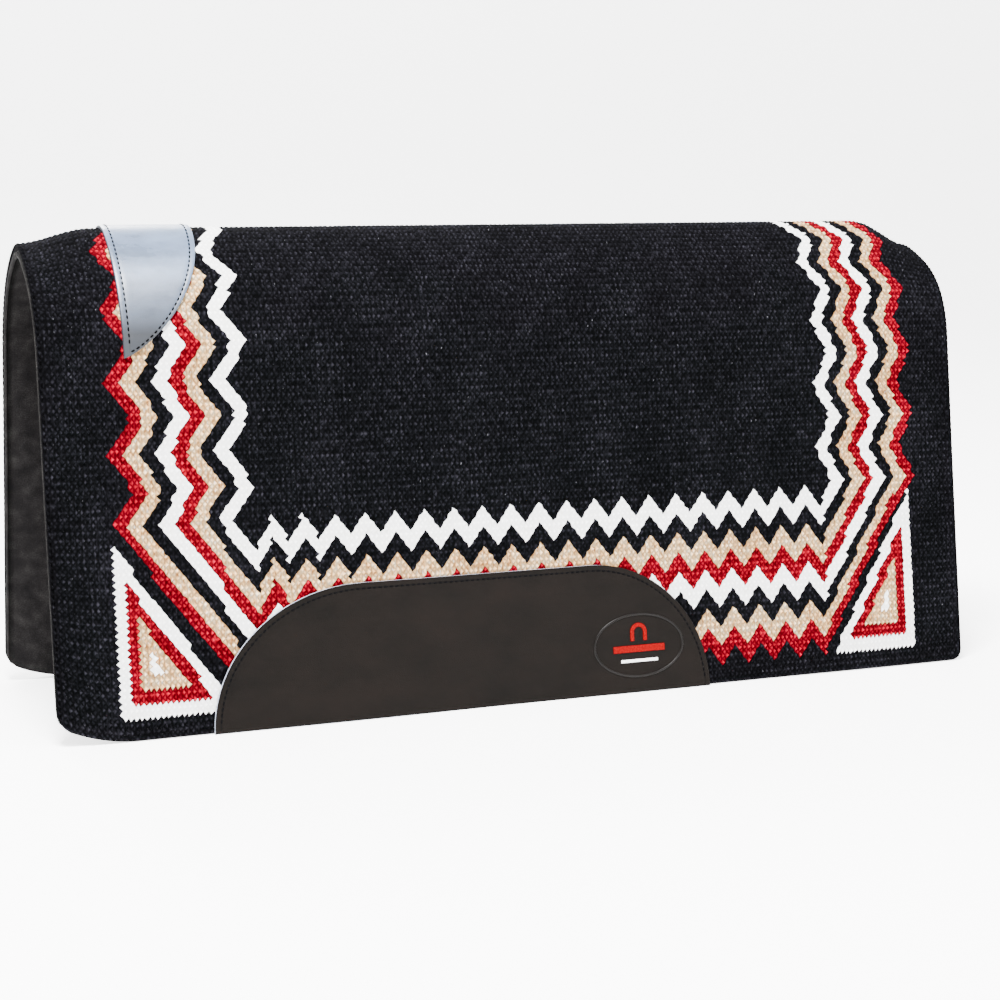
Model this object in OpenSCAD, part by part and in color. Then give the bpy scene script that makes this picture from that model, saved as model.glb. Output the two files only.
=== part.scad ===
// Western saddle pad: a woven wool blanket on a felt liner, draped in an arch.
// The spine lies along X with the withers (front) at -X, and the near flap is on the -Y side.
// The origin is midway between the two lower edges, on the surface that the pad stands on.

/* [Pad] */
// Length along the spine
pad_length = 864; // [700:1:900]
// Drop of one flap, measured over the outside from the ridge to the lower edge
flap_drop = 457; // [380:1:480]
// Thickness of the woven blanket
blanket_t = 6.5; // [4:0.5:10]
// Thickness of the felt liner
felt_t = 6.5; // [4:0.5:12]
// Radius of the lower corners
corner_r = 12; // [5:1:40]

/* [Drape] */
// Outside radius over the ridge
ridge_r = 37; // [28:1:60]
// Angle that the cloth has turned through where the ridge meets the shoulder
ridge_turn = 30; // [20:1:40]
// Outside radius of the shoulder below the ridge
shoulder_r = 139; // [100:1:160]
// Slope of the hanging flap, from the horizontal
flap_slope = 82; // [76:1:88]
// Distance from the ridge to the line where a flap folds
fold_at = 180; // [165:1:220]
// Gap at the fold between the spine and a flap
fold_gap = 0.4; // [0.3:0.1:1]

/* [Wither leather] */
// Distance of its straight front edge from the front end of the pad
wither_front = 70; // [50:1:100]
// Length along the spine, at the ridge
wither_length = 76; // [60:1:90]
// Reach down each side
wither_reach = 143; // [110:1:148]
// Thickness
wither_t = 2.2; // [1.5:0.1:3]

/* [Wear leather] */
// Distance of its front corner from the front end of the pad
wear_front = 129; // [100:1:160]
// Width along the lower edge
wear_width = 462; // [380:1:500]
// Height above the lower edge
wear_height = 117; // [90:1:140]
// Length of the front corner's curve
wear_front_curve = 134; // [80:1:150]
// Length of the rear corner's curve
wear_rear_curve = 114; // [80:1:150]
// Thickness
wear_t = 2.8; // [2:0.1:4]

/* [Stitching] */
// Distance between stitches
stitch_pitch = 5; // [4:0.5:8]
// Length of the thread that shows in one stitch
stitch_length = 3.6; // [2:0.1:6]
// Radius of the thread
thread_r = 0.45; // [0.3:0.05:0.8]
// Distance of the thread row inside the leather's edge
stitch_inset = 5; // [4:0.5:12]

/* [Badge] */
// Distance of the badge's centre in front of the wear leather's rear corner
badge_from_rear = 70; // [60:1:100]
// Height of its centre above the lower edge
badge_height = 42.5; // [36:0.5:60]
// Half length of the oval ring
badge_half_length = 44.5; // [30:0.5:50]
// Half height of the oval ring
badge_half_height = 29; // [20:0.5:34]
// Width of the ring
ring_width = 2.4; // [1.5:0.1:4]
// Height that the badge stands above the leather
badge_relief = 0.8; // [0.4:0.1:1.5]

/* [Hidden] */
$fn = 96;

pad_t = blanket_t + felt_t;
front_x = -pad_length / 2;
shoulder_turn = flap_slope - ridge_turn;
ridge_arc = ridge_r * ridge_turn * PI / 180;
shoulder_arc = shoulder_r * shoulder_turn * PI / 180;
straight_from = ridge_arc + shoulder_arc;
ridge_y = ridge_r * sin(ridge_turn);
ridge_z = ridge_r * (1 - cos(ridge_turn));
shoulder_y = ridge_y + shoulder_r * (sin(flap_slope) - sin(ridge_turn));
shoulder_z = ridge_z + shoulder_r * (cos(ridge_turn) - cos(flap_slope));
pad_height = shoulder_z + (flap_drop - straight_from) * sin(flap_slope);
spine_end = fold_at - pad_t / 2 - fold_gap;
flap_length = flap_drop - fold_at;
ridge_steps = 10;
strip_steps = 6;
path_steps = 24;

// Slope of the outer surface at the distance s from the ridge, near side positive.
function slope(s) =
  let (t = abs(s), side = s < 0 ? -1 : 1)
  side * (t < ridge_arc ? t / ridge_r * 180 / PI
    : t < straight_from ? ridge_turn + (t - ridge_arc) / shoulder_r * 180 / PI
    : flap_slope);

// Outward distance and fall of the outer surface at the distance s from the ridge.
function fall(s) =
  let (t = abs(s), a = abs(slope(s)), rest = t - straight_from)
  t < ridge_arc ? [ridge_r * sin(a), ridge_r * (1 - cos(a))]
    : t < straight_from
    ? [ridge_y + shoulder_r * (sin(a) - sin(ridge_turn)),
       ridge_z + shoulder_r * (cos(ridge_turn) - cos(a))]
    : [shoulder_y + rest * cos(flap_slope), shoulder_z + rest * sin(flap_slope)];

// Point of the outer skin, in the pad's own frame.
function skin_point(x, s) = [x, (s < 0 ? 1 : -1) * fall(s)[0], pad_height - fall(s)[1]];

// Distance along a path of [x, s] points, for looking up even steps.
function along(path) =
  [for (i = 0, d = 0; i < len(path); d = d + norm(path[min(i + 1, len(path) - 1)] - path[i]), i = i + 1) d];

// Rear edge of the wither leather, inset by m: x at the distance s from the ridge.
function wither_rear(s, m) =
  front_x + wither_front + m
  + (wither_length - 2 * m) * pow(max(0, 1 - pow(abs(s) / (wither_reach - m), 2.5)), 0.8);

// Outline of the wear leather, inset by m, from its front corner over to its rear corner.
function wear_arch(m) =
  let (
    x0 = front_x + wear_front,
    x1 = x0 + wear_width,
    rise = wear_height - m,
    low = fold_at - flap_drop
  )
  concat(
    [for (a = [0:7.5:90]) [x0 + wear_front_curve - (wear_front_curve - m) * cos(a), low + rise * sin(a)]],
    [for (a = [90:-7.5:0]) [x1 - wear_rear_curve + (wear_rear_curve - m) * cos(a), low + rise * sin(a)]]
  );

// Puts children at the distance s from the ridge: x along the spine, y up the slope, z out.
module on_surface(x, s) {
  translate(skin_point(x, s)) rotate([slope(s), 0, 0]) children();
}

module off_side() {
  mirror([0, 1, 0]) children();
}

// Distances from the ridge that shape the crown of the arch, and each of the strips beside it.
ridge_stations = [for (i = [-ridge_steps:ridge_steps]) ridge_arc * i / ridge_steps];
function strip_stations(n) =
  [for (i = [0:strip_steps]) ridge_arc + shoulder_arc * (n + i / strip_steps) / 3];
lower_stations = concat(strip_stations(2), [spine_end]);

// Cross-section point below the outer skin by the depth d.
function section_point(s, d) =
  let (p = skin_point(0, s), a = slope(s))
  [p[1] + (s < 0 ? -1 : 1) * d * abs(sin(a)), p[2] - d * cos(a)];

// Part of one layer of the arch, between two depths below the outer skin, along the stations given.
module strip(d0, d1, across) {
  back = [for (i = [len(across) - 1:-1:0]) across[i]];
  rotate([90, 0, 90]) linear_extrude(height = pad_length, center = true)
    polygon(concat([for (s = across) section_point(s, d0)], [for (s = back) section_point(s, d1)]));
}

// A flap's outline with rounded lower corners. Its top edge is the fold line.
module flap_outline() {
  half = pad_length / 2;
  translate([-half, corner_r - flap_length]) square([pad_length, flap_length - corner_r]);
  translate([corner_r - half, -flap_length]) square([pad_length - 2 * corner_r, corner_r]);
  for (side = [-1, 1])
    translate([side * (half - corner_r), corner_r - flap_length]) circle(r = corner_r);
}

// One layer of the near flap, between two depths. The fold edge is rounded about the fold axis.
module flap_layer(d0, d1) {
  intersection() {
    on_surface(0, fold_at) {
      translate([0, 0, -d1]) linear_extrude(height = d1 - d0) flap_outline();
      translate([0, 0, -pad_t / 2]) intersection() {
        rotate([0, 90, 0]) cylinder(h = pad_length, r = pad_t / 2, center = true);
        translate([-pad_length / 2, 0, pad_t / 2 - d1]) cube([pad_length, pad_t, d1 - d0]);
      }
    }
    translate([-pad_length, -pad_height, 0]) cube([2 * pad_length, pad_height, 2 * pad_height]);
  }
}

// One stitch that lies on leather of thickness t, heading along the slope by the angle given.
module stitch(x, s, heading, t) {
  on_surface(x, s) translate([0, 0, t + thread_r]) rotate([0, 0, heading]) rotate([0, 90, 0])
    cylinder(h = stitch_length, r = thread_r, center = true, $fn = 16);
}

// A row of stitches at even steps along a path of [x, s] points.
module stitch_row(path, t) {
  d = along(path);
  xs = [for (i = [0:len(path) - 1]) [d[i], path[i][0]]];
  ss = [for (i = [0:len(path) - 1]) [d[i], path[i][1]]];
  total = d[len(d) - 1];
  count = floor(total / stitch_pitch);
  for (i = [0:count - 1]) {
    at = (i + 0.5) * total / count;
    step = [lookup(at + 1, xs) - lookup(at - 1, xs), lookup(at + 1, ss) - lookup(at - 1, ss)];
    stitch(lookup(at, xs), lookup(at, ss), -atan2(step[1], step[0]), t);
  }
}

module blanket_ridge() {
  color([0.11, 0.11, 0.13]) strip(0, blanket_t, ridge_stations);
}

module blanket_upper_near() {
  color([0.11, 0.11, 0.13]) strip(0, blanket_t, strip_stations(0));
}

module blanket_middle_near() {
  color([0.11, 0.11, 0.13]) strip(0, blanket_t, strip_stations(1));
}

module blanket_lower_near() {
  color([0.11, 0.11, 0.13]) strip(0, blanket_t, lower_stations);
}

module felt_ridge() {
  color([0.35, 0.34, 0.33]) strip(blanket_t, pad_t, ridge_stations);
}

module felt_upper_near() {
  color([0.35, 0.34, 0.33]) strip(blanket_t, pad_t, strip_stations(0));
}

module felt_middle_near() {
  color([0.35, 0.34, 0.33]) strip(blanket_t, pad_t, strip_stations(1));
}

module felt_lower_near() {
  color([0.35, 0.34, 0.33]) strip(blanket_t, pad_t, lower_stations);
}

// Stations down one side, from the crown, for the leather over the withers.
patch_stations = concat(
  [for (i = [1:strip_steps]) strip_stations(0)[i]],
  [for (i = [1:strip_steps]) strip_stations(1)[i]],
  [for (i = [1:len(lower_stations) - 1]) lower_stations[i]]
);

module wither_leather() {
  reach = 2 * pad_height;
  side_view = concat(
    [for (i = [0:path_steps]) let (s = wither_reach * (1 - i / path_steps))
      [wither_rear(s, 0), pad_height - fall(s)[1] + wither_t * cos(slope(s))]],
    [[wither_rear(0, 0), reach], [front_x + wither_front, reach]]
  );
  color([0.16, 0.17, 0.2]) intersection() {
    strip(-wither_t, 0, concat(
      [for (i = [len(patch_stations) - 1:-1:0]) -patch_stations[i]], ridge_stations, patch_stations));
    rotate([90, 0, 0]) linear_extrude(height = reach, center = true) polygon(side_view);
  }
}

module wither_stitching() {
  reach = wither_reach - stitch_inset;
  front_row = [for (s = [-reach + stitch_inset:4:reach - stitch_inset])
    [front_x + wither_front + stitch_inset, s]];
  rear_row = [for (i = [-path_steps:path_steps]) let (s = reach * sin(90 * i / path_steps))
    [wither_rear(s, stitch_inset), s]];
  color([0.05, 0.05, 0.06]) {
    stitch_row(front_row, wither_t);
    stitch_row(rear_row, wither_t);
  }
}

module blanket_near() {
  color([0.11, 0.11, 0.13]) flap_layer(0, blanket_t);
}

module felt_near() {
  color([0.35, 0.34, 0.33]) flap_layer(blanket_t, pad_t);
}

module wear_leather_near() {
  color([0.21, 0.19, 0.17]) on_surface(0, fold_at) linear_extrude(height = wear_t) polygon(wear_arch(0));
}

module wear_stitching_near() {
  path = [for (p = wear_arch(stitch_inset)) [p[0], fold_at - p[1]]];
  color([0.05, 0.05, 0.06]) stitch_row(path, wear_t);
}

// Puts children on the near wear leather at the badge's centre.
module at_badge() {
  on_surface(front_x + wear_front + wear_width - badge_from_rear, flap_drop - badge_height)
    translate([0, 0, wear_t]) children();
}

module oval(half_length, half_height) {
  polygon([for (a = [0:6:354]) [half_length * cos(a), half_height * sin(a)]]);
}

module badge_ring_near() {
  color([0.12, 0.11, 0.1]) at_badge() linear_extrude(height = badge_relief) difference() {
    oval(badge_half_length, badge_half_height);
    oval(badge_half_length - ring_width, badge_half_height - ring_width);
  }
}

module badge_emblem_near() {
  shoe_r = 8;
  shoe_width = 3.4;
  bar = [50, 6];
  color([0.75, 0.1, 0.12]) at_badge() linear_extrude(height = badge_relief) {
    translate([0, 12]) difference() {
      union() {
        circle(r = shoe_r);
        translate([-shoe_r, -shoe_r]) square([2 * shoe_r, shoe_r]);
      }
      circle(r = shoe_r - shoe_width);
      translate([shoe_width - shoe_r, -shoe_r]) square([2 * (shoe_r - shoe_width), shoe_r]);
    }
    translate([-bar[0] / 2, -6]) square(bar);
  }
}

module badge_line_near() {
  line = [36, 2.5];
  color([0.92, 0.92, 0.9]) at_badge() linear_extrude(height = badge_relief)
    translate([-line[0] / 2, -15]) square(line);
}

blanket_ridge();
blanket_upper_near();
blanket_middle_near();
blanket_lower_near();
off_side() blanket_upper_near();  // blanket_upper_off
off_side() blanket_middle_near();  // blanket_middle_off
off_side() blanket_lower_near();  // blanket_lower_off
felt_ridge();
felt_upper_near();
felt_middle_near();
felt_lower_near();
off_side() felt_upper_near();  // felt_upper_off
off_side() felt_middle_near();  // felt_middle_off
off_side() felt_lower_near();  // felt_lower_off
wither_leather();
wither_stitching();
blanket_near();
felt_near();
wear_leather_near();
wear_stitching_near();
badge_ring_near();
badge_emblem_near();
badge_line_near();
off_side() blanket_near();  // blanket_off
off_side() felt_near();  // felt_off
off_side() wear_leather_near();  // wear_leather_off
off_side() wear_stitching_near();  // wear_stitching_off
off_side() badge_ring_near();  // badge_ring_off
off_side() badge_emblem_near();  // badge_emblem_off
off_side() badge_line_near();  // badge_line_off
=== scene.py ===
"""Looks for the saddle pad: woven wool blanket, felt liner, leather patches, stitches and badge.

Every surface is laid out in the cloth's own coordinates: x along the spine and s, the distance
over the outside from the ridge down one side. drape() carries them to the place in the frame.
"""

import math

import bpy
import numpy as np
from mathutils import Matrix, Vector
from mathutils.geometry import delaunay_2d_cdt


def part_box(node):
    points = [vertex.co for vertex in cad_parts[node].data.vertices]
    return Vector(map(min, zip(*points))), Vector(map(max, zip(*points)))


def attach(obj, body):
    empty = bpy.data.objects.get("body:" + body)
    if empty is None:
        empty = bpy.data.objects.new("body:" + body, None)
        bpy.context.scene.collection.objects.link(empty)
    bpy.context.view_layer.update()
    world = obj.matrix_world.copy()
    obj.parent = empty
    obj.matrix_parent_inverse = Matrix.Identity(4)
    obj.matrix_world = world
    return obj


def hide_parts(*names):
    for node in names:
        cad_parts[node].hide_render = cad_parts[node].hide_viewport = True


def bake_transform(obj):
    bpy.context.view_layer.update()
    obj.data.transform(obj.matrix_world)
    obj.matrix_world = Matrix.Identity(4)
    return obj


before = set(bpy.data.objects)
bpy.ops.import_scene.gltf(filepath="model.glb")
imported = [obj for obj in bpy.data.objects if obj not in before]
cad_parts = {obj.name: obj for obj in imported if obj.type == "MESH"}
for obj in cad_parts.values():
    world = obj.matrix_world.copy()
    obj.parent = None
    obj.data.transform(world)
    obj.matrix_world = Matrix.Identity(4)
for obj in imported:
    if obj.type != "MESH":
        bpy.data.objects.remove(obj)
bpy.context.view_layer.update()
MM = 0.001
SIDES = {"near": -1, "off": 1}

# ---------------------------------------------------------------- sizes, in millimetres
# The drape: the same arcs as the CAD's.
RIDGE_R = 37
RIDGE_TURN = math.radians(30)
SHOULDER_R = 139
FLAP_SLOPE = math.radians(82)
FLAP_DROP = 457
BLANKET_T = 6.5
FELT_T = 6.5
PAD_T = BLANKET_T + FELT_T
HALF_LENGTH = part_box("blanket_ridge")[1].x / MM
RIDGE_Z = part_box("blanket_ridge")[1].z / MM
# The flap's fold lies between these distances from the ridge.
FOLD_BAND = (147, 217)

# The weave: rows run along the spine, and the weft stands up as a bead at every other crossing.
ROWS = 154
ROW = FLAP_DROP / ROWS
COLUMNS = 384
BEAD_RELIEF = 1.7

# The drooping ends of the ridge: how far they fall, and over what length.
FRONT_DROOP = (12, 62)
REAR_DROOP = (23, 60)
# The lower front corner is pulled up: how far, from where along the pad, and from where down it.
FRONT_CURL = 17
FRONT_CURL_X = -366
FRONT_CURL_S = 250
# The droop dies away at this distance down the side.
DROOP_REACH = 150

RIDGE_ARC = RIDGE_R * RIDGE_TURN
SHOULDER_ARC = SHOULDER_R * (FLAP_SLOPE - RIDGE_TURN)
STRAIGHT_FROM = RIDGE_ARC + SHOULDER_ARC
# The lower edges are cut level: how much shorter the cloth is for each millimetre of depth.
LEVEL_CUT = 1 / math.tan(FLAP_SLOPE)


# ---------------------------------------------------------------- the drape
def cross_section(s):
    """Outward distance, fall below the ridge and slope of the skin at distances s >= 0."""
    s = np.asarray(s, float)
    ridge_y = RIDGE_R * math.sin(RIDGE_TURN)
    ridge_z = RIDGE_R * (1 - math.cos(RIDGE_TURN))
    low_y = ridge_y + SHOULDER_R * (math.sin(FLAP_SLOPE) - math.sin(RIDGE_TURN))
    low_z = ridge_z + SHOULDER_R * (math.cos(RIDGE_TURN) - math.cos(FLAP_SLOPE))
    turn = np.where(s < RIDGE_ARC, s / RIDGE_R, RIDGE_TURN + (s - RIDGE_ARC) / SHOULDER_R)
    turn = np.minimum(turn, FLAP_SLOPE)
    on_ridge = s < RIDGE_ARC
    on_flap = s > STRAIGHT_FROM
    y = ridge_y + SHOULDER_R * (np.sin(turn) - math.sin(RIDGE_TURN))
    z = ridge_z + SHOULDER_R * (math.cos(RIDGE_TURN) - np.cos(turn))
    y = np.where(on_ridge, RIDGE_R * np.sin(turn), y)
    z = np.where(on_ridge, RIDGE_R * (1 - np.cos(turn)), z)
    rest = s - STRAIGHT_FROM
    y = np.where(on_flap, low_y + rest * math.cos(FLAP_SLOPE), y)
    z = np.where(on_flap, low_z + rest * math.sin(FLAP_SLOPE), z)
    return y, z, turn


def smooth(t):
    t = np.clip(t, 0, 1)
    return t * t * (3 - 2 * t)


WAVE_HEIGHT = 1.3
WAVE_INSET = 0.9
WAVE_PHASE = {-1: 1.3, 1: 3.1}
# The waves start at this distance from the ridge, and reach their full height this much lower.
WAVE_FROM = 60
WAVE_GROWTH = 300


def undulation(x, s, side):
    """How far the cloth stands out of its plane: long, shallow waves that grow down the flap."""
    phase = WAVE_PHASE[side]
    grow = smooth((s - WAVE_FROM) / WAVE_GROWTH)
    long_wave = np.sin(x / 96 + phase) * np.sin(s / 120 + 0.4 * phase)
    short_wave = np.sin(x / 41 + 2 * phase + s / 160) * 0.45
    return grow * WAVE_HEIGHT * (long_wave + short_wave) - WAVE_INSET * grow


def droop(x, s):
    """How far the unsupported ends of the ridge fall."""
    front = smooth((FRONT_DROOP[1] - (x + HALF_LENGTH)) / FRONT_DROOP[1]) * FRONT_DROOP[0]
    rear = smooth((REAR_DROOP[1] - (HALF_LENGTH - x)) / REAR_DROOP[1]) * REAR_DROOP[0]
    return (front + rear) * (1 - smooth(s / DROOP_REACH)) ** 1.5


def drape(x, s, side, depth=0.0):
    """Place in the frame, in metres, of cloth points (x, s) at a depth below the skin."""
    x, s, depth = np.broadcast_arrays(*(np.asarray(v, float) for v in (x, s, depth)))
    curl = np.clip((FRONT_CURL_X - x) / (HALF_LENGTH + FRONT_CURL_X), 0, 1) ** 2
    s = s - FRONT_CURL * curl * smooth((s - FRONT_CURL_S) / (FLAP_DROP - FRONT_CURL_S))
    y, z, turn = cross_section(s)
    out = undulation(x, s, side) - depth
    y = y + out * np.sin(turn)
    z = z - out * np.cos(turn) + droop(x, s)
    return np.stack([x, side * y, RIDGE_Z - z], -1) * MM


def signed_drape(x, s, depth=0.0):
    """drape() for s counted as positive down the near side and negative down the off side."""
    s = np.asarray(s, float)
    near = drape(x, np.abs(s), SIDES["near"], depth)
    off = drape(x, np.abs(s), SIDES["off"], depth)
    return np.where(np.broadcast_to(s >= 0, near.shape[:-1])[..., None], near, off)


# ---------------------------------------------------------------- the woven pattern
BLACK, RED, TAN, WHITE = range(4)
STRIPES = [WHITE, BLACK, TAN, RED, WHITE, BLACK, TAN, RED]
STRIPE_DROP = 17.8
INNER_LINE = 300
TOOTH_WIDTH = 27
TOOTH_HEIGHT = 20.5
TEETH_FROM, TEETH_TO = -257, 283
ZIGZAG_PERIOD = 60
# Each end of the pad: its corner, the stripes' step, their zigzag's depth and first outward tip,
# how far on its corner stripes start, and how much the outer ones of those are squeezed together.
FRONT_END = {"corner": 258.5, "step": 12.8, "depth": 18.2, "tip": 42, "lag": 1.3, "squeeze": 0.1}
REAR_END = {"corner": 283, "step": 11.2, "depth": 15.5, "tip": 38, "lag": 1.34, "squeeze": 0.5}
# The triangle in each lower corner: its outer side, tip and foot, its slope, and its rings' widths
# in from the side, the foot and the slope.
TRIANGLE_X = 380.5
TRIANGLE_FOOT = 440
FRONT_TRIANGLE = {"tip": 294, "slope": 1.45, "rings": (9.3, 12.5, 17.0)}
REAR_TRIANGLE = {"tip": 289, "slope": 1.70, "rings": (9.3, 12.5, 16.0)}
TRIANGLE_RINGS = [WHITE, RED, TAN, WHITE]


def zigzag(t, period):
    """A triangle wave: 1 at t = 0, and 0 half a period away."""
    return 1 - 2 * np.abs(((t / period + 0.5) % 1) - 0.5)


def end_index(x, s, end):
    """Which stripe a point at one end lies in, counted outwards from the pad's centre."""
    out = np.abs(x) - end["corner"]
    held = np.maximum(s, end["tip"] - ZIGZAG_PERIOD / 2)
    beside = (out - end["depth"] * zigzag(held - end["tip"], ZIGZAG_PERIOD)) / end["step"]
    turn_at = end["tip"] + 4 * ZIGZAG_PERIOD
    corner = out / end["step"] + (s - turn_at) / STRIPE_DROP - end["lag"]
    squeezed = end["squeeze"] * smooth((s - turn_at) / (ZIGZAG_PERIOD / 2))
    corner = corner + squeezed * np.clip((corner - 5) / 2.5, 0, 1)
    return np.where(s < turn_at, beside, corner)


def triangle_level(x, s, triangle):
    """Which ring of a corner triangle a point lies in, counted inwards; below 0 it is outside."""
    inset = TRIANGLE_X - np.abs(x)
    side, foot, slope = triangle["rings"]
    level = np.minimum(inset / side, (TRIANGLE_FOOT - s) / foot)
    return np.minimum(level, (s - triangle["tip"] - triangle["slope"] * inset) / slope)


def yarn_colours(x, s):
    """The colour of the yarn at the cloth points (x, s)."""
    teeth = zigzag(x - TEETH_FROM - TOOTH_WIDTH / 2, TOOTH_WIDTH)
    index = (s - INNER_LINE + TOOTH_HEIGHT * teeth) / STRIPE_DROP
    index = np.where(x < TEETH_FROM, end_index(x, s, FRONT_END), index)
    index = np.where(x > TEETH_TO, end_index(x, s, REAR_END), index)
    stripe = np.array(STRIPES)[np.clip(np.floor(index), 0, len(STRIPES) - 1).astype(int)]
    colour = np.where((index >= 0) & (index < len(STRIPES)), stripe, BLACK)
    front = triangle_level(x, s, FRONT_TRIANGLE)
    level = np.where(x < 0, front, triangle_level(x, s, REAR_TRIANGLE))
    ring = np.array(TRIANGLE_RINGS)[np.clip(np.floor(level), 0, 3).astype(int)]
    return np.where(level >= 0, ring, colour)


# ---------------------------------------------------------------- materials
def linear(red, green, blue):
    """A colour from 0 to 255 in each channel, as Blender wants it."""
    values = [c / 255 for c in (red, green, blue)]
    return [v / 12.92 if v < 0.04045 else ((v + 0.055) / 1.055) ** 2.4 for v in values] + [1]


class Shader:
    """Short calls for building a material's nodes."""

    def __init__(self, name):
        self.material = bpy.data.materials.new(name)
        self.material.use_nodes = True
        self.tree = self.material.node_tree
        self.surface = self.tree.nodes["Principled BSDF"]

    def node(self, kind, settings=None, **inputs):
        """A new node. Each keyword is an input's name, with _ for a space."""
        made = self.tree.nodes.new(kind)
        for key, value in (settings or {}).items():
            setattr(made, key, value)
        for key, value in inputs.items():
            self.feed(made, key.replace("_", " "), value)
        return made

    def feed(self, node, socket, value):
        """Links a socket's input, or sets its constant."""
        if isinstance(value, bpy.types.NodeSocket):
            self.tree.links.new(value, node.inputs[socket])
        else:
            node.inputs[socket].default_value = value

    def cloth(self, scale):
        """The cloth's own (x, s), stretched by scale."""
        place = self.node("ShaderNodeAttribute", {"attribute_name": "cloth"})
        stretch = self.node("ShaderNodeVectorMath", {"operation": "MULTIPLY"})
        self.tree.links.new(place.outputs["Vector"], stretch.inputs[0])
        stretch.inputs[1].default_value = scale
        return stretch.outputs[0]

    def lift(self, low, high):
        """A factor for painted shade, from the lift attribute: low in the weave's hollows and a patch's
        groove, high on the crests.
        """
        stands = self.node("ShaderNodeAttribute", {"attribute_name": "lift"})
        return self.stretch(stands.outputs["Fac"], 0.1, 0.85, low, high)

    def noise(self, scale, detail=3.0, roughness=0.6):
        """Noise with so many waves per metre along the spine and down the side."""
        made = self.node(
            "ShaderNodeTexNoise",
            Vector=self.cloth((*scale, 1)), Scale=1.0, Detail=detail, Roughness=roughness,
        )
        return made.outputs["Fac"]

    def tint(self, colour, amount):
        """The colour, darkened by an amount from 0, which is black, to 1, which leaves it."""
        grey = self.node("ShaderNodeCombineColor", Red=amount, Green=amount, Blue=amount)
        return self.mix(1.0, colour, grey.outputs[0], "MULTIPLY")

    def ramp(self, value, stops):
        """A colour ramp through (place, colour) stops."""
        made = self.node("ShaderNodeValToRGB", Fac=value)
        band = made.color_ramp
        while len(band.elements) < len(stops):
            band.elements.new(0.5)
        for element, (place, colour) in zip(band.elements, stops):
            element.position = place
            element.color = colour
        return made.outputs["Color"]

    def stretch(self, value, low, high, to_low=0.0, to_high=1.0):
        """The value, with the span from low to high carried to that from to_low to to_high."""
        made = self.node("ShaderNodeMapRange", {"clamp": True}, Value=value)
        spans = {"From Min": low, "From Max": high, "To Min": to_low, "To Max": to_high}
        for socket, number in spans.items():
            made.inputs[socket].default_value = number
        return made.outputs["Result"]

    def math(self, operation, a, b):
        made = self.node("ShaderNodeMath", {"operation": operation})
        for socket, value in zip((0, 1), (a, b)):
            self.feed(made, socket, value)
        return made.outputs[0]

    def mix(self, amount, a, b, blend="MIX"):
        made = self.node("ShaderNodeMix", {"data_type": "RGBA", "blend_type": blend})
        for socket, value in ((0, amount), (6, a), (7, b)):
            self.feed(made, socket, value)
        return made.outputs[2]

    def bump(self, height, distance, strength=1.0, under=None):
        """A normal bent by a height, on top of the normal under it."""
        made = self.node("ShaderNodeBump", Height=height, Distance=distance, Strength=strength)
        if under is not None:
            self.tree.links.new(under, made.inputs["Normal"])
        return made.outputs["Normal"]

    def finish(self, **inputs):
        """Feeds the surface shader and returns the material."""
        for key, value in inputs.items():
            self.feed(self.surface, key.replace("_", " "), value)
        return self.material


def wool(name, dark, middle, light, hollow_painted_shade, shine, fleck=None, fleck_from=0.6):
    """Spun wool: fine fibres along the yarn, soft changes of shade from bead to bead.

    The fifth argument is the darkness of the shade painted in the weave's hollows, and fleck a second
    colour in spots.
    """
    make = Shader(name)
    fibre = make.noise((2600, 420), 4.0, 0.65)
    bead = make.noise((420, 170), 1.0, 0.5)
    patch = make.noise((22, 14), 3.0, 0.55)
    shade = make.math("ADD", make.math("MULTIPLY", bead, 0.45), make.math("MULTIPLY", fibre, 0.35))
    shade = make.math("ADD", shade, make.math("MULTIPLY", patch, 0.2))
    colour = make.ramp(shade, [(0.36, dark), (0.5, middle), (0.64, light)])
    if fleck:
        spots = make.noise((620, 240), 2.0, 0.5)
        colour = make.mix(make.stretch(spots, fleck_from, fleck_from + 0.08), colour, fleck)
    # Painted shade: the colour darkens where the lift attribute is low, in the weave's hollows, down
    # its rolled edge and under it.
    colour = make.tint(colour, make.lift(hollow_painted_shade, 1.0))
    normal = make.bump(fibre, 0.0005, 0.7)
    fuzz = make.noise((900, 900), 3.0, 0.7)
    normal = make.bump(fuzz, 0.0005, 0.5, under=normal)
    return make.finish(
        Base_Color=colour, Roughness=0.9, Normal=normal, Sheen_Weight=0.01,
        Sheen_Roughness=0.4, Sheen_Tint=light, Specular_IOR_Level=shine,
    )


def felt_material():
    """Pressed charcoal felt, with short tangled fibres."""
    make = Shader("felt_charcoal")
    fibre = make.noise((900, 1100), 5.0, 0.7)
    patch = make.noise((60, 60), 3.0, 0.6)
    shade = make.math("ADD", make.math("MULTIPLY", fibre, 0.6), make.math("MULTIPLY", patch, 0.4))
    colour = make.ramp(shade, [
        (0.35, linear(9, 9, 10)), (0.5, linear(20, 19, 19)), (0.68, linear(42, 41, 40)),
    ])
    normal = make.bump(fibre, 0.0008, 0.8)
    return make.finish(
        Base_Color=colour, Roughness=0.97, Normal=normal, Sheen_Weight=0.05,
        Sheen_Tint=linear(60, 58, 56), Specular_IOR_Level=0.03,
    )


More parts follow.
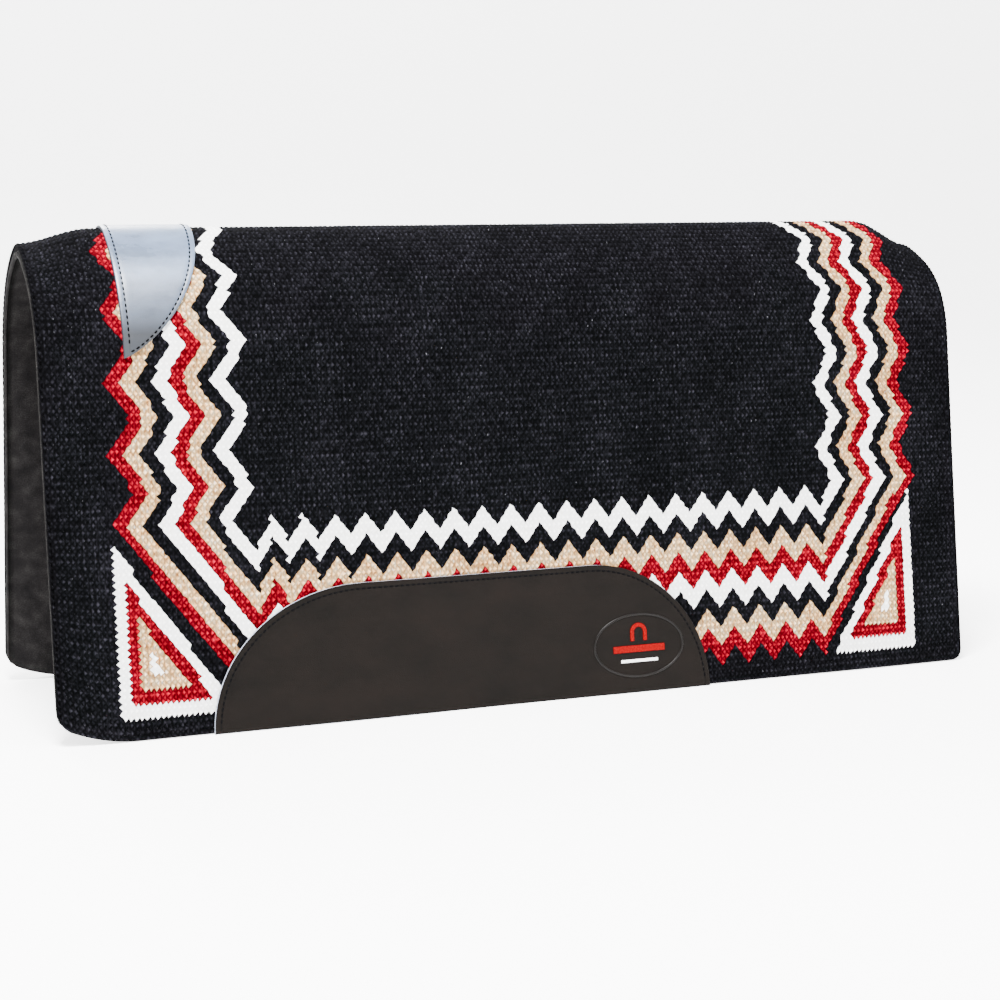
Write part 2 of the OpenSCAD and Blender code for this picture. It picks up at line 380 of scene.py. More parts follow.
def leather(name, dark, light, roughness, grain_depth, shine=0.5, coat=0.0, tips=None):
    """Grained leather with creases, and a finish that is duller where it has been rubbed.

    With tips, it darkens with painted shade and dulls down each side, between those two distances from
    the ridge.
    """
    make = Shader(name)
    cells = make.node("ShaderNodeTexVoronoi", {"feature": "DISTANCE_TO_EDGE"},
                      Vector=make.cloth((760, 760, 1)), Scale=1.0)
    grain = make.stretch(cells.outputs["Distance"], 0.0, 0.32)
    pores = make.noise((2300, 2300), 3.0, 0.6)
    wear = make.noise((16, 26), 5.0, 0.62)
    creases = make.noise((60, 150), 2.0, 0.5)
    shade = make.math("ADD", make.math("MULTIPLY", wear, 0.7), make.math("MULTIPLY", pores, 0.3))
    colour = make.ramp(shade, [(0.34, dark), (0.68, light)])
    # Painted shade along a patch's rim and stitch groove, from the lift attribute.
    painted_shade = make.lift(0.35, 1.0)
    if tips:
        reach = make.node("ShaderNodeSeparateXYZ", Vector=make.cloth((1, 1, 1))).outputs["Y"]
        ragged = make.math("MULTIPLY", wear, 0.02)
        reach = make.math("ADD", make.math("ABSOLUTE", reach, 0.0), ragged)
        keep = make.stretch(reach, tips[0] * MM, tips[1] * MM, 1.0, 0.0)
        # Painted shade: the colour darkens down each side towards the tips, where less light falls.
        painted_shade = make.math("MULTIPLY", painted_shade, make.stretch(keep, 0.0, 1.0, 0.09, 1.0))
        coat = make.stretch(keep, 0.0, 1.0, 0.1 * coat, coat)
    colour = make.tint(colour, painted_shade)
    normal = make.bump(creases, 0.0007, 0.35)
    normal = make.bump(grain, grain_depth, 0.55, under=normal)
    normal = make.bump(pores, 0.00012, 0.5, under=normal)
    dull = make.stretch(wear, 0.35, 0.7, roughness - 0.07, roughness + 0.1)
    if tips:
        dull = make.math("ADD", dull, make.stretch(keep, 0.0, 1.0, 0.25, 0.0))
    return make.finish(
        Base_Color=colour, Roughness=dull, Normal=normal, Specular_IOR_Level=shine,
        Coat_Weight=coat, Coat_Roughness=0.35,
    )


def plain(name, dark, light, roughness, scale=300, relief=0.0001, shine=0.3):
    """A finish with a fine grain of its own, for thread, cut edges and painted parts."""
    make = Shader(name)
    grain = make.noise((scale, scale), 4.0, 0.6)
    colour = make.ramp(grain, [(0.35, dark), (0.65, light)])
    return make.finish(
        Base_Color=colour, Roughness=make.stretch(grain, 0.3, 0.7, roughness - 0.08, roughness + 0.08),
        Normal=make.bump(grain, relief, 0.7), Specular_IOR_Level=shine,
    )


# The fifth number of each is how dark the shade painted in its weave's hollows is.
YARNS = [
    wool("wool_black", linear(6, 6, 8), linear(19, 19, 23), linear(46, 45, 52), 0.10, 0.015,
         fleck=linear(120, 120, 126), fleck_from=0.71),
    wool("wool_red", linear(102, 0, 16), linear(168, 0, 32), linear(208, 0, 52), 0.10, 0.01),
    wool("wool_tan", linear(182, 116, 62), linear(252, 202, 140), linear(255, 240, 206), 0.2, 0.03,
         fleck=linear(246, 238, 224)),
    wool("wool_white", linear(246, 244, 240), linear(255, 255, 254), linear(255, 255, 255), 0.62, 0.03),
]
FELT = felt_material()
# The wither leather is black; the lighter blue-grey of these colours is a painted reflection of the sky
# on its gloss.
WITHER_LEATHER = leather("leather_black", linear(34, 46, 64), linear(80, 98, 124), 0.30, 0.00005,
                         shine=0.4, coat=0.6, tips=(82, 132))
WEAR_LEATHER = leather("leather_brown_black", linear(5, 4, 3), linear(14, 10, 8), 0.62, 0.00010, 0.045)
# The wear leather's cut edge, coloured pale blue-grey: the edge is real, its paleness a painted
# highlight along the rim.
HIGHLIGHT_EDGE = plain("leather_edge_highlight", linear(104, 110, 124), linear(168, 176, 192), 0.7, 900, 0.0003)
DARK_EDGE = plain("leather_dark_edge", linear(14, 16, 20), linear(40, 46, 56), 0.7, 900, 0.0003)
THREAD = plain("thread_black", linear(1, 1, 2), linear(7, 7, 8), 0.9, 1400, 0.0003, 0.03)
RING_LEATHER = leather("leather_embossed", linear(5, 4, 3), linear(13, 10, 9), 0.36, 0.00006, 0.10)
RED_PAINT = plain("emblem_red", linear(84, 0, 1), linear(108, 0, 3), 0.5, 700, shine=0.02)
WHITE_PAINT = plain("emblem_white", linear(206, 206, 204), linear(238, 238, 236), 0.5, 700, shine=0.1)


# ---------------------------------------------------------------- mesh helpers
def make_mesh(name, points, faces, materials, paint=None, cloth=None, lift=None):
    """A smooth mesh. cloth holds each vertex's (x, s), in millimetres, for its materials.

    lift is how far each vertex stands out of the weave, from 0 to 1, or how light a patch's painted
    groove shade leaves it; the shaders darken low values as painted shade.
    """
    mesh = bpy.data.meshes.new(name)
    mesh.from_pydata([tuple(p) for p in points], [], faces)
    for material in materials:
        mesh.materials.append(material)
    if paint is not None:
        mesh.polygons.foreach_set("material_index", np.asarray(paint, np.int32))
    mesh.polygons.foreach_set("use_smooth", np.ones(len(mesh.polygons), bool))
    flat = np.zeros((len(points), 3), np.float32)
    flat[:, :2] = np.asarray(cloth) * MM
    layer = mesh.attributes.new("cloth", "FLOAT_VECTOR", "POINT")
    layer.data.foreach_set("vector", flat.ravel())
    raised = mesh.attributes.new("lift", "FLOAT", "POINT")
    lift = np.ones(len(points)) if lift is None else lift
    raised.data.foreach_set("value", np.asarray(lift, np.float32))
    mesh.update()
    piece = bpy.data.objects.new(name, mesh)
    bpy.context.scene.collection.objects.link(piece)
    return piece


def facing(faces, side):
    """Faces wound for the near side, turned round if they are on the off side."""
    return faces if side < 0 else [tuple(f)[::-1] for f in faces]


def ring_faces(a, b):
    """Quads between two closed loops of the same length."""
    n = len(a)
    return [(a[i], b[i], b[(i + 1) % n], a[(i + 1) % n]) for i in range(n)]


def border(rows, columns):
    """The vertex numbers round a grid: first column, last row, last column, first row."""
    first = [r * columns for r in range(rows)]
    bottom = [(rows - 1) * columns + c for c in range(1, columns)]
    last = [r * columns + columns - 1 for r in range(rows - 2, -1, -1)]
    top = [c for c in range(columns - 2, 0, -1)]
    return first + bottom + last + top


def underside(loop, rows, columns, row_step, column_step, start):
    """A coarse grid under a fine one, joined to the loop of vertices round the fine one's edge."""
    number = {divmod(place, columns): v for place, v in zip(border(rows, columns), loop)}
    inner = [
        (r, c)
        for r in range(row_step, rows - 1, row_step)
        for c in range(column_step, columns - 1, column_step)
    ]
    number.update({place: start + k for k, place in enumerate(inner)})
    faces = []
    for r in range(0, rows - 1, row_step):
        for c in range(0, columns - 1, column_step):
            low, right = r + row_step, c + column_step
            walk = [(r, k) for k in range(c, right)] + [(k, right) for k in range(r, low)]
            walk += [(low, k) for k in range(right, c, -1)] + [(k, c) for k in range(low, r, -1)]
            faces.append(tuple(number[p] for p in walk if p in number))
    return faces, np.array(inner)


CORNER_R = 12
# The weft's turns along the front and rear edges stand out by this much.
EDGE_RIBBING = 0.3


def round_corners(x, s):
    """Moves the cloth points near a flap's lower corners on to a rounded outline."""
    u = np.clip(1 - (HALF_LENGTH - np.abs(x)) / CORNER_R, 0, None)
    v = np.clip(1 - (FLAP_DROP - s) / CORNER_R, 0, None)
    round_u = u * np.sqrt(np.maximum(1 - v * v / 2, 0))
    round_v = v * np.sqrt(np.maximum(1 - u * u / 2, 0))
    return np.sign(x) * (np.abs(x) - CORNER_R * (u - round_u)), s - CORNER_R * (v - round_v)


def closed_layer(name, side, x, s, depth, faces, paint, rings, steps, materials):
    """One half of a layer: its top grid, a rolled edge of rings (outset, depth) and an underside.

    steps is how many of the top's rows and columns one of the underside's cells spans.
    """
    rows, columns = x.shape
    edge = np.array(border(rows, columns))
    edge_x, edge_s = x.ravel()[edge], s.ravel()[edge]
    out_x = np.where(edge % columns == 0, -1, 0) + np.where(edge % columns == columns - 1, 1, 0)
    out_s = np.where(edge // columns == rows - 1, 1, 0)
    xs, ss, ds = [x.ravel()], [s.ravel()], [depth.ravel()]
    faces, paint = list(faces), list(paint)
    loop, total = edge.tolist(), rows * columns
    for outset, ring_depth in rings:
        ribbing = EDGE_RIBBING * np.cos(np.pi * edge_s / ROW) * (outset > 0)
        xs.append(edge_x + out_x * (outset + ribbing))
        ss.append(edge_s + out_s * (outset - LEVEL_CUT * ring_depth))
        ds.append(np.full(len(edge), float(ring_depth)))
        ring = list(range(total, total + len(edge)))
        faces += ring_faces(ring, loop)
        paint += [0] * len(edge)
        loop, total = ring, total + len(edge)
    below, places = underside(loop, rows, columns, *steps, total)
    xs.append(x[places[:, 0], places[:, 1]])
    ss.append(s[places[:, 0], places[:, 1]])
    ds.append(np.full(len(places), float(rings[-1][1])))
    faces += below
    paint += [0] * len(below)
    x, s, depth = (np.concatenate(v) for v in (xs, ss, ds))
    x, s = round_corners(x, s)
    points = drape(x, s, side, depth)
    # The lift falls to 0 down the rolled edge and over the underside, which the wool shader darkens as
    # painted shade.
    lift = 1 - np.clip((depth - depth[:rows * columns].min()) / BEAD_RELIEF, 0, 1)
    cloth = np.stack([x, -side * s], 1)
    return make_mesh(name, points, facing(faces, side), materials, paint, cloth, lift)


# ---------------------------------------------------------------- the woven blanket
EDGE_INSET = 1.8
# A layer's rolled edge, from its top to its underside, as rings of (outset, depth).
BLANKET_RIM = [(1.3, 1.5), (1.8, 3.2), (1.3, 4.9), (0.0, BLANKET_T - 0.1)]
FELT_RIM = [(1.2, BLANKET_T + 0.9), (1.4, PAD_T - 3), (0.9, PAD_T - 0.8), (0.0, PAD_T)]


# How high a bead's crest and the hollow beside it stand, on even rows and on odd rows.
CREST = (1.0, 0.66)
HOLLOW = (0.4, 0.0)
# How unevenly the beads stand and lie: in height, along the row, and across it.
HEIGHT_JITTER = 0.1
ALONG_JITTER = 0.24
ACROSS_JITTER = 0.16
# Odd and even rows lean apart by this much, and each row wanders by as much.
LEAN = 0.35


def blanket(side_name):
    """One half of the blanket, as beads of weft that stand up at every other crossing."""
    side = SIDES[side_name]
    rng = np.random.default_rng(10 + side)
    rows, columns = ROWS + 1, COLUMNS + 1
    row, column = np.arange(rows)[:, None], np.arange(columns)[None, :]
    x = np.tile(np.linspace(EDGE_INSET - HALF_LENGTH, HALF_LENGTH - EDGE_INSET, columns), (rows, 1))
    s = np.tile(np.linspace(0, FLAP_DROP - EDGE_INSET, rows)[:, None], (1, columns))
    bead = (row + column) % 2 == 0
    colour = yarn_colours(x, s)

    crest = np.where(row % 2 == 0, *CREST)
    hollow = np.where(row % 2 == 0, *HOLLOW)
    height = np.where(bead, crest, hollow)
    height = height + rng.normal(0, HEIGHT_JITTER, height.shape) * (row > 0)
    loose = np.zeros(x.shape)
    loose[1:-1, 1:-1] = 1
    x = x + loose * (rng.normal(0, ALONG_JITTER, x.shape) + LEAN * np.where(row % 2 == 0, 1, -1))
    wander = LEAN * np.sin(x / 31 + rng.uniform(0, 2 * np.pi, (rows, 1)))
    s = s + loose * (wander + rng.normal(0, ACROSS_JITTER, x.shape))

    number = np.arange(rows * columns).reshape(rows, columns)
    high_left, high_right = number[:-1, :-1], number[:-1, 1:]
    low_left, low_right = number[1:, :-1], number[1:, 1:]
    # Each triangle is a quarter of a bead: its crest first, then two of the hollows beside it.
    falling = bead[:-1, :-1, None]
    upper = np.where(falling, np.stack([high_left, low_left, high_right], -1),
                     np.stack([high_right, high_left, low_right], -1))
    lower = np.where(falling, np.stack([low_right, high_right, low_left], -1),
                     np.stack([low_left, low_right, high_left], -1))
    faces = np.vstack([upper.reshape(-1, 3), lower.reshape(-1, 3)])
    paint = colour.ravel()[faces[:, 0]]
    return closed_layer(f"woven_blanket_{side_name}", side, x, s, BEAD_RELIEF * (1 - height),
                        faces.tolist(), paint.tolist(), BLANKET_RIM, (2, 8), YARNS)


FELT_ROWS, FELT_COLUMNS = 77, 144
FELT_JITTER = 0.01


def felt(side_name):
    """One half of the felt liner, under the blanket."""
    side = SIDES[side_name]
    rng = np.random.default_rng(20 + side)
    rows, columns = FELT_ROWS + 1, FELT_COLUMNS + 1
    x = np.tile(np.linspace(EDGE_INSET - HALF_LENGTH, HALF_LENGTH - EDGE_INSET, columns), (rows, 1))
    s = np.tile(np.linspace(0, FLAP_DROP - EDGE_INSET, rows)[:, None], (1, columns))
    depth = np.full(x.shape, BLANKET_T - 0.05)
    place = np.arange(rows * columns).reshape(rows, columns)
    corners = place[:-1, :-1], place[1:, :-1], place[1:, 1:], place[:-1, 1:]
    faces = np.stack(corners, -1).reshape(-1, 4).tolist()
    depth += rng.normal(0, FELT_JITTER, depth.shape)
    return closed_layer(f"felt_liner_{side_name}", side, x, s, depth, faces, [0] * len(faces),
                        FELT_RIM, (1, 1), [FELT])


# ---------------------------------------------------------------- leather, thread and badge
WITHER_FRONT = 70
WITHER_LENGTH = 76
WITHER_REACH = 143
WITHER_T = 2.2
WEAR_FRONT = 129
WEAR_WIDTH = 462
WEAR_HEIGHT = 117
WEAR_FRONT_CURVE = 134
WEAR_REAR_CURVE = 114
WEAR_T = 2.8
# How many points its outline has: round each end, along the top between them, and back below.
WEAR_END_POINTS = 46
WEAR_TOP_POINTS = 50
WEAR_LOW_POINTS = 114
WEAR_ARCH_POINTS = 2 * WEAR_END_POINTS + WEAR_TOP_POINTS
STITCH_INSET = 5
STITCH_PITCH = 5
STITCH_LENGTH = 3.6
# A stitch lies in the leather's groove, at this share of its thickness, and its ends dip below it.
STITCH_SEAT = 0.88
STITCH_RISE = 0.12
STITCH_DIP = 0.62
THREAD_R = 0.75
# How far out on its narrowing curve a stitch ends, and how much its height and heading vary.
STITCH_TAPER = 0.86
STITCH_JITTER = 0.03
BADGE_X = WEAR_FRONT + WEAR_WIDTH - 70 - HALF_LENGTH
BADGE_S = FLAP_DROP - 42.5
BADGE_LENGTH, BADGE_HEIGHT = 44.5, 29
RING_WIDTH = 2.4
SHOE_OUTER_R = 8
SHOE_INNER_R = 4.6
SHOE_LEG = 8
BADGE_RELIEF = 0.8

# A patch's edge, as steps in from it: the distance, how high the leather stands there as a share
# of its thickness, and how much of its colour the shade painted along the rim and stitch groove leaves,
# from 0 to 1 for no shade.
EDGE_PROFILE = [
    (0, 0.78, 0.3), (0.3, 0.94, 0.8), (0.9, 1.0, 1), (2.8, 1.01, 1),
    (3.8, 0.99, 0.9), (5, 0.94, 0.1), (6.2, 0.99, 0.9), (9, 1.01, 1),
]


WITHER_POINTS = 121


def wither_outline(inset):
    """The loop (x, s) round the wither leather, anticlockwise, at a distance inside its edge."""
    reach = WITHER_REACH - inset
    front = WITHER_FRONT + inset - HALF_LENGTH
    turn = np.linspace(-1, 1, WITHER_POINTS)
    s = reach * np.sin(turn * np.pi / 2)
    fall = np.maximum(0, 1 - (np.abs(s) / reach) ** 2.5) ** 0.8
    rear = np.stack([front + (WITHER_LENGTH - 2 * inset) * fall, s], 1)
    straight = np.linspace(reach, -reach, WITHER_POINTS)[1:-1]
    return np.vstack([rear, np.stack([np.full(len(straight), front), straight], 1)])


def wear_outline(inset):
    """The loop (x, s) round the wear leather: over its arch, then back along the lower edge."""
    x0, x1 = WEAR_FRONT - HALF_LENGTH, WEAR_FRONT + WEAR_WIDTH - HALF_LENGTH
    rise = WEAR_HEIGHT - inset
    turn = np.radians(np.linspace(0, 90, WEAR_END_POINTS))
    back = turn[::-1]
    front_x = x0 + WEAR_FRONT_CURVE - (WEAR_FRONT_CURVE - inset) * np.cos(turn)
    rear_x = x1 - WEAR_REAR_CURVE + (WEAR_REAR_CURVE - inset) * np.cos(back)
    front = np.stack([front_x, rise * np.sin(turn)], 1)
    rear = np.stack([rear_x, rise * np.sin(back)], 1)
    top_x = np.linspace(front[-1, 0], rear[0, 0], WEAR_TOP_POINTS + 2)[1:-1]
    arch = np.vstack([front, np.stack([top_x, np.full(WEAR_TOP_POINTS, rise)], 1), rear])
    # Below, the edge is cut flush with the pad, so only its lip is inset.
    foot = min(inset, 1.0)
    arch[:, 1] = np.maximum(arch[:, 1], foot)
    low_x = np.linspace(arch[-1, 0], arch[0, 0], WEAR_LOW_POINTS + 2)[1:-1]
    loop = np.vstack([arch, np.stack([low_x, np.full(WEAR_LOW_POINTS, foot)], 1)])
    return np.stack([loop[:, 0], FLAP_DROP - loop[:, 1]], 1)


def inside(points, loop):
    """Which points lie inside a closed loop."""
    a, b = loop, np.roll(loop, -1, axis=0)
    x, y = points[:, 0][:, None], points[:, 1][:, None]
    crosses = (a[:, 1] > y) != (b[:, 1] > y)
    rise = np.where(b[:, 1] == a[:, 1], 1, b[:, 1] - a[:, 1])
    hit = a[:, 0] + (y - a[:, 1]) * (b[:, 0] - a[:, 0]) / rise
    return np.sum(crosses & (x < hit), axis=1) % 2 == 1


# How far a patch's outer wall reaches down into the cloth.
WALL_DEPTH = 0.6


def fill(flat, loop):
    """Triangles over the cloth points from a loop's first one on, inside that loop."""
    first = loop[0]
    points = [Vector(p) for p in flat[first:]]
    boundary = list(range(len(loop)))
    filled = delaunay_2d_cdt(points, [], [boundary], 1, 1e-5)
    triangles, origin = filled[2], filled[3]
    number = [o[0] + first if o else -1 for o in origin]
    whole = [face for face in triangles if all(number[v] >= 0 for v in face)]
    return [tuple(number[v] for v in face) for face in whole]


def patch(name, outline, thickness, place, materials, spacing=4.0, profile=EDGE_PROFILE, side=-1):
    """A flat patch of leather or paint, laid on the cloth: rings inside its edge, then a grid.

    place(x, s, depth) gives the points in the frame. The wall round the edge takes the last
    material.
    """
    rings = [outline(inset) for inset, _, _ in profile]
    ahead = np.roll(rings[0], -1, axis=0)
    if np.sum(rings[0][:, 0] * ahead[:, 1] - ahead[:, 0] * rings[0][:, 1]) > 0:
        rings = [ring[::-1] for ring in rings]
    count = len(rings[0])
    low, high = rings[-1].min(0), rings[-1].max(0)
    grid_x, grid_s = np.meshgrid(
        np.arange(low[0] + spacing / 2, high[0], spacing),
        np.arange(low[1] + spacing / 2, high[1], spacing),
    )
    grid = np.stack([grid_x.ravel(), grid_s.ravel()], 1)
    grid = grid[inside(grid, outline(profile[-1][0] + 0.4 * spacing))]
    flat = np.vstack([*rings, grid])
    loops = [list(range(k * count, (k + 1) * count)) for k in range(len(rings))]
    faces = []
    for outer, inner in zip(loops, loops[1:]):
        faces += ring_faces(outer, inner)
    faces += fill(flat, loops[-1])
    paint = [0] * len(faces)
    wall = list(range(len(flat), len(flat) + count))
    faces += ring_faces(wall, loops[0])
    paint += [len(materials) - 1] * count

    shares = [share for _, share, _ in profile]
    painted_shade = [groove for _, _, groove in profile]
    height = thickness * np.concatenate([np.repeat(shares, count), np.full(len(grid), shares[-1])])
    height = np.concatenate([height, np.full(count, -WALL_DEPTH)])
    # The shade painted along the rim and stitch groove, handed to the shader as the lift attribute.
    groove = np.concatenate([np.repeat(painted_shade, count), np.ones(len(grid) + count)])
    flat = np.vstack([flat, rings[0]])
    points = place(flat[:, 0], flat[:, 1], -height)
    return make_mesh(name, points, outward(points, faces, side), materials, paint, flat, groove)


def outward(points, faces, side):
    """Faces turned so that the patch as a whole faces away from the pad."""
    total = np.zeros(3)
    for face in faces[::7]:
        a, b, c = (points[v] for v in face[:3])
        total += np.cross(b - a, c - a)
    away = np.array([0, side, 0.0]) if side else np.array([0, 0, 1.0])
    return faces if total @ away > 0 else [tuple(f)[::-1] for f in faces]


def even_steps(path, pitch):
    """Points at even steps along a path, with the heading of the path there."""
    path = np.asarray(path, float)
    far = np.concatenate([[0], np.cumsum(np.linalg.norm(np.diff(path, axis=0), axis=1))])
    count = int(far[-1] / pitch)
    at = (np.arange(count) + 0.5) * far[-1] / count
    x, s = np.interp(at, far, path[:, 0]), np.interp(at, far, path[:, 1])
    ahead = [np.interp(at + 1, far, path[:, k]) - np.interp(at - 1, far, path[:, k]) for k in (0, 1)]
    return np.stack([x, s], 1), np.stack(ahead, 1) / np.hypot(*ahead)[:, None]


def stitching(name, paths, place, seat):
    """Rows of lock stitches: each a short arched length of thread whose ends go into the leather.

    seat is how high over the cloth the thread lies.
    """
    rng = np.random.default_rng(len(name))
    sides, steps = 8, 7
    along = np.linspace(-1, 1, steps)
    points_x, points_s, depths, faces = [], [], [], []
    for path in paths:
        for (x, s), (hx, hs) in zip(*even_steps(path, STITCH_PITCH)):
            start = len(points_x) * sides * steps
            half = STITCH_LENGTH / 2 * rng.uniform(0.94, 1.04)
            radius = THREAD_R * np.sqrt(np.maximum(1 - (STITCH_TAPER * along) ** 4, 0))
            arch = seat + STITCH_RISE - STITCH_DIP * along ** 4 + rng.normal(0, STITCH_JITTER)
            skew = rng.normal(0, STITCH_JITTER)
            ring = np.linspace(0, 2 * np.pi, sides, endpoint=False)
            across = radius[:, None] * np.cos(ring) + (skew * half * along)[:, None]
            up = arch[:, None] + radius[:, None] * np.sin(ring)
            fore = np.broadcast_to((half * along)[:, None], across.shape)
            points_x.append((x + fore * hx - across * hs).ravel())
            points_s.append((s + fore * hs + across * hx).ravel())
            depths.append(-up.ravel())
            for k in range(steps - 1):
                a = [start + k * sides + n for n in range(sides)]
                faces += ring_faces([v + sides for v in a], a)
            faces += [tuple(start + n for n in range(sides))]
            faces += [tuple(start + (steps - 1) * sides + n for n in range(sides - 1, -1, -1))]
    x, s, d = (np.concatenate(v) for v in (points_x, points_s, depths))
    return make_mesh(name, place(x, s, d), faces, [THREAD], None, np.stack([x, s], 1))


def circle_arc(centre, radius, start, end, steps):
    """Points on a circle, with the angles in degrees and s pointing down."""
    turn = np.radians(np.linspace(start, end, steps))
    return np.stack([centre[0] + radius * np.cos(turn), centre[1] - radius * np.sin(turn)], 1)


def horseshoe(inset):
    """The loop round a horseshoe, open end down."""
    centre = (BADGE_X, BADGE_S - 12)
    over = circle_arc(centre, SHOE_OUTER_R - inset, 0, 180, 33)
    under = circle_arc(centre, SHOE_INNER_R + inset, 180, 0, 33)
    leg = np.linspace(0, SHOE_LEG - inset, 7)[1:, None]
    down = leg * [0, 1]
    up = down[::-1]
    return np.vstack([over, over[-1] + down, under[0] + up, under, under[-1] + down, over[0] + up])


def block(x0, x1, s0, s1):
    """A rectangle's loop, as a function of the inset."""

    def outline(inset):
        a, b, c, d = x0 + inset, x1 - inset, s0 + inset, s1 - inset
        steps = np.linspace(0, 1, 13)[:-1, None]
        corners = np.array([(b, c), (a, c), (a, d), (b, d)])
        ahead = np.roll(corners, -1, axis=0)
        return np.vstack([p + steps * (q - p) for p, q in zip(corners, ahead)])

    return outline


PAINT_SPACING = 0.8
PAINT_PROFILE = [(0, 0.8, 1), (0.2, 0.95, 1), (0.55, 1.0, 1)]


def badge_ring(side_name, place):
    """The raised oval: a half-round band of embossed leather."""
    around, across = 144, 9
    turn = np.linspace(0, 2 * np.pi, around, endpoint=False)
    xs, ss, ds, faces = [], [], [], []
    for k, t in enumerate(np.linspace(0, np.pi, across)):
        inset = RING_WIDTH / 2 * (1 - math.cos(t))
        rise = WEAR_T - 0.35 + (BADGE_RELIEF + 0.45) * math.sin(t)
        xs.append(BADGE_X + (BADGE_LENGTH - inset) * np.cos(turn))
        ss.append(BADGE_S - (BADGE_HEIGHT - inset) * np.sin(turn))
        ds.append(np.full(around, -rise))
        if k:
            outer = list(range((k - 1) * around, k * around))
            faces += ring_faces(outer, [v + around for v in outer])
    x, s, d = (np.concatenate(v) for v in (xs, ss, ds))
    points = place(x, s, d)
    return make_mesh(f"oval_ring_{side_name}", points, outward(points, faces, SIDES[side_name]),
                     [RING_LEATHER], None, np.stack([x, s], 1))


# ---------------------------------------------------------------- assembly
def on_flap(side_name):
    """The place(x, s, depth) of one side, for patch() and stitching()."""
    return lambda x, s, depth: drape(x, s, SIDES[side_name], depth)


LAYERS = (("felt", felt, "felt_grey"), ("blanket", blanket, "wool_black"))


def build_half(side_name):
    """Builds one half's felt and blanket, and hides the CAD pieces they stand in for."""
    side = SIDES[side_name]
    start, end = (Vector(drape(0, s, side, PAD_T / 2)) for s in FOLD_BAND)
    for layer, make, finish in LAYERS:
        made = make(side_name)
        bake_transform(made)
        strips = [f"{layer}_{place}_{side_name}" for place in ("upper", "middle", "lower")]
        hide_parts(f"{layer}_{side_name}", f"{layer}_ridge", *strips)


def badge_marks():
    """The badge's painted marks: their names, outlines, finishes, slots and CAD nodes."""
    bar = block(BADGE_X - 25, BADGE_X + 25, BADGE_S, BADGE_S + 6)
    line = block(BADGE_X - 18, BADGE_X + 18, BADGE_S + 12.5, BADGE_S + 15)
    return (
        ("badge_shoe", horseshoe, RED_PAINT, "emblem_red", "badge_emblem"),
        ("badge_bar", bar, RED_PAINT, "emblem_red", "badge_emblem"),
        ("badge_stripe", line, WHITE_PAINT, "emblem_white", "badge_line"),
    )


def build_flap_trim(side_name):
    """The wear leather, its thread and its badge, which lie on the flap below the fold."""
    place = on_flap(side_name)
    side = SIDES[side_name]

    def painted(x, s, depth):
        return place(x, s, depth - WEAR_T)

    row = wear_outline(STITCH_INSET)[:WEAR_ARCH_POINTS]
    row = row[row[:, 1] < FLAP_DROP - 4]
    thread = stitching(f"wear_thread_{side_name}", [row], place, WEAR_T * STITCH_SEAT)
    leather_patch = patch(
        f"wear_patch_{side_name}", wear_outline, WEAR_T, place, [WEAR_LEATHER, HIGHLIGHT_EDGE], side=side
    )
    ring = badge_ring(side_name, place)
    pieces = [
        (leather_patch, "leather_brown_black", "wear_leather"),
        (thread, "thread_black", "wear_stitching"),
        (ring, "leather_embossed", "badge_ring"),
    ]
    for name, outline, paint, finish, node in badge_marks():
        mark = patch(
            f"{name}_{side_name}", outline, BADGE_RELIEF, painted, [paint],
            PAINT_SPACING, PAINT_PROFILE, side,
        )
        pieces.append((mark, finish, node))
    for piece, finish, node in pieces:
        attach(piece, f"{side_name}_flap")
        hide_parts(f"{node}_{side_name}")


def build_wither_leather():
    """The wither leather and its two rows of thread, which straddle the ridge."""
    leather_patch = patch(
        "wither_patch", wither_outline, WITHER_T, signed_drape, [WITHER_LEATHER, DARK_EDGE], side=0
    )
    reach = WITHER_REACH - STITCH_INSET
    front = WITHER_FRONT + STITCH_INSET - HALF_LENGTH
    rear_row = wither_outline(STITCH_INSET)[:WITHER_POINTS]
    straight = np.stack([np.full(61, front), np.linspace(reach - 6, 6 - reach, 61)], 1)
    thread = stitching("wither_thread", [rear_row, straight], signed_drape, WITHER_T * STITCH_SEAT)
    for piece, node, finish in (
        (leather_patch, "wither_leather", "leather_black"),
        (thread, "wither_stitching", "thread_black"),
    ):
        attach(piece, "spine")
        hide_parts(node)


for side_name in SIDES:
    build_half(side_name)
    build_flap_trim(side_name)
build_wither_leather()


# ---------------------------------------------------------------- the studio
WHITE_LIGHT = (1, 1, 1, 1)
SKY_STRENGTH = 2.3
SWEEP_COLOUR = (0.97, 0.97, 0.97, 1)
SWEEP_GLOW = 1.9
SWEEP_BEND = 1.5
# Where the sweep starts to rise, how far it goes forward, up and to each side.
SWEEP_BACK = 3
SWEEP_FORWARD = 6
SWEEP_TOP = 6
SWEEP_SIDE = 9


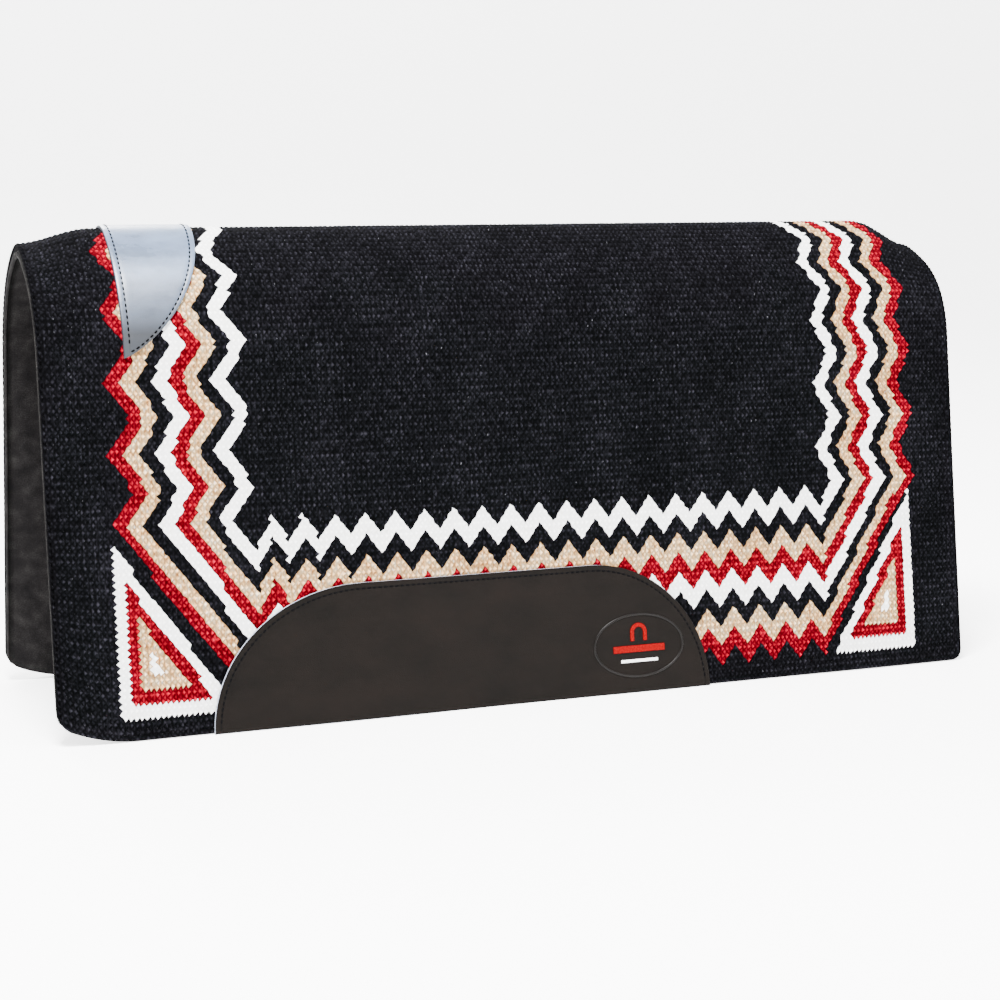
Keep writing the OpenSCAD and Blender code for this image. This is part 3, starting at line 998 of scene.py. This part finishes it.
def studio():
    """A pale floor that curves up into a backdrop, under soft lights. In metres."""
    finish = Shader("studio_white").finish(
        Base_Color=SWEEP_COLOUR, Roughness=0.9, Specular_IOR_Level=0.1,
        Emission_Color=WHITE_LIGHT, Emission_Strength=SWEEP_GLOW,
    )
    profile = [(-SWEEP_FORWARD, 0)]
    for turn in np.radians(np.linspace(0, 90, 17)):
        profile.append((SWEEP_BACK + SWEEP_BEND * math.sin(turn), SWEEP_BEND * (1 - math.cos(turn))))
    profile.append((SWEEP_BACK + SWEEP_BEND, SWEEP_TOP))
    points = [(x, y, z) for y, z in profile for x in (-SWEEP_SIDE, SWEEP_SIDE)]
    faces = [(2 * k, 2 * k + 1, 2 * k + 3, 2 * k + 2) for k in range(len(profile) - 1)]
    make_mesh("studio_sweep", points, faces, [finish], None, np.zeros((len(points), 2)))
    world = bpy.data.worlds.new("studio")
    world.use_nodes = True
    background = world.node_tree.nodes["Background"]
    background.inputs["Color"].default_value = WHITE_LIGHT
    background.inputs["Strength"].default_value = SKY_STRENGTH
    bpy.context.scene.world = world
    lamp("key", (-0.6, -0.8, 2.3), 0.9, 340)
    lamp("fill", (2.0, -2.0, 1.8), 1.6, 105)
    lamp("back", (-0.4, 2.4, 2.2), 1.6, 180)


LAMP_TARGET = (0, 0, 0.25)


def lamp(name, place, size, power):
    """A soft round light, aimed at the middle of the pad."""
    light = bpy.data.lights.new(name, "AREA")
    light.shape = "DISK"
    light.size = size
    light.energy = power
    lit = bpy.data.objects.new(name, light)
    lit.location = place
    aim = Vector(LAMP_TARGET) - Vector(place)
    lit.rotation_euler = aim.to_track_quat("-Z", "Y").to_euler()
    bpy.context.scene.collection.objects.link(lit)


CAMERA_TURNS = (22.31, 9.06, 0.18)
CAMERA_LENS = 78.1
# Along the spine, out from it, and above the ridge, in metres.
CAMERA_PLACE = (-0.7485, -1.8375, 0.0624)


def camera():
    """Looks at the near side from in front of the pad's middle, a little from above."""
    yaw, pitch, roll = (math.radians(a) for a in CAMERA_TURNS)
    level = math.cos(pitch)
    ahead = Vector((math.sin(yaw) * level, math.cos(yaw) * level, -math.sin(pitch)))
    across = Vector((math.cos(yaw), -math.sin(yaw), 0))
    rise = across.cross(ahead)
    right = across * math.cos(roll) + rise * math.sin(roll)
    up = rise * math.cos(roll) - across * math.sin(roll)
    view = bpy.data.objects.new("camera", bpy.data.cameras.new("camera"))
    view.data.lens = CAMERA_LENS
    view.data.sensor_width = 36
    place = Vector(CAMERA_PLACE) + Vector((0, 0, RIDGE_Z * MM))
    view.matrix_world = Matrix.Translation(place) @ Matrix((right, up, -ahead)).transposed().to_4x4()
    bpy.context.scene.collection.objects.link(view)
    bpy.context.scene.camera = view


studio()
camera()
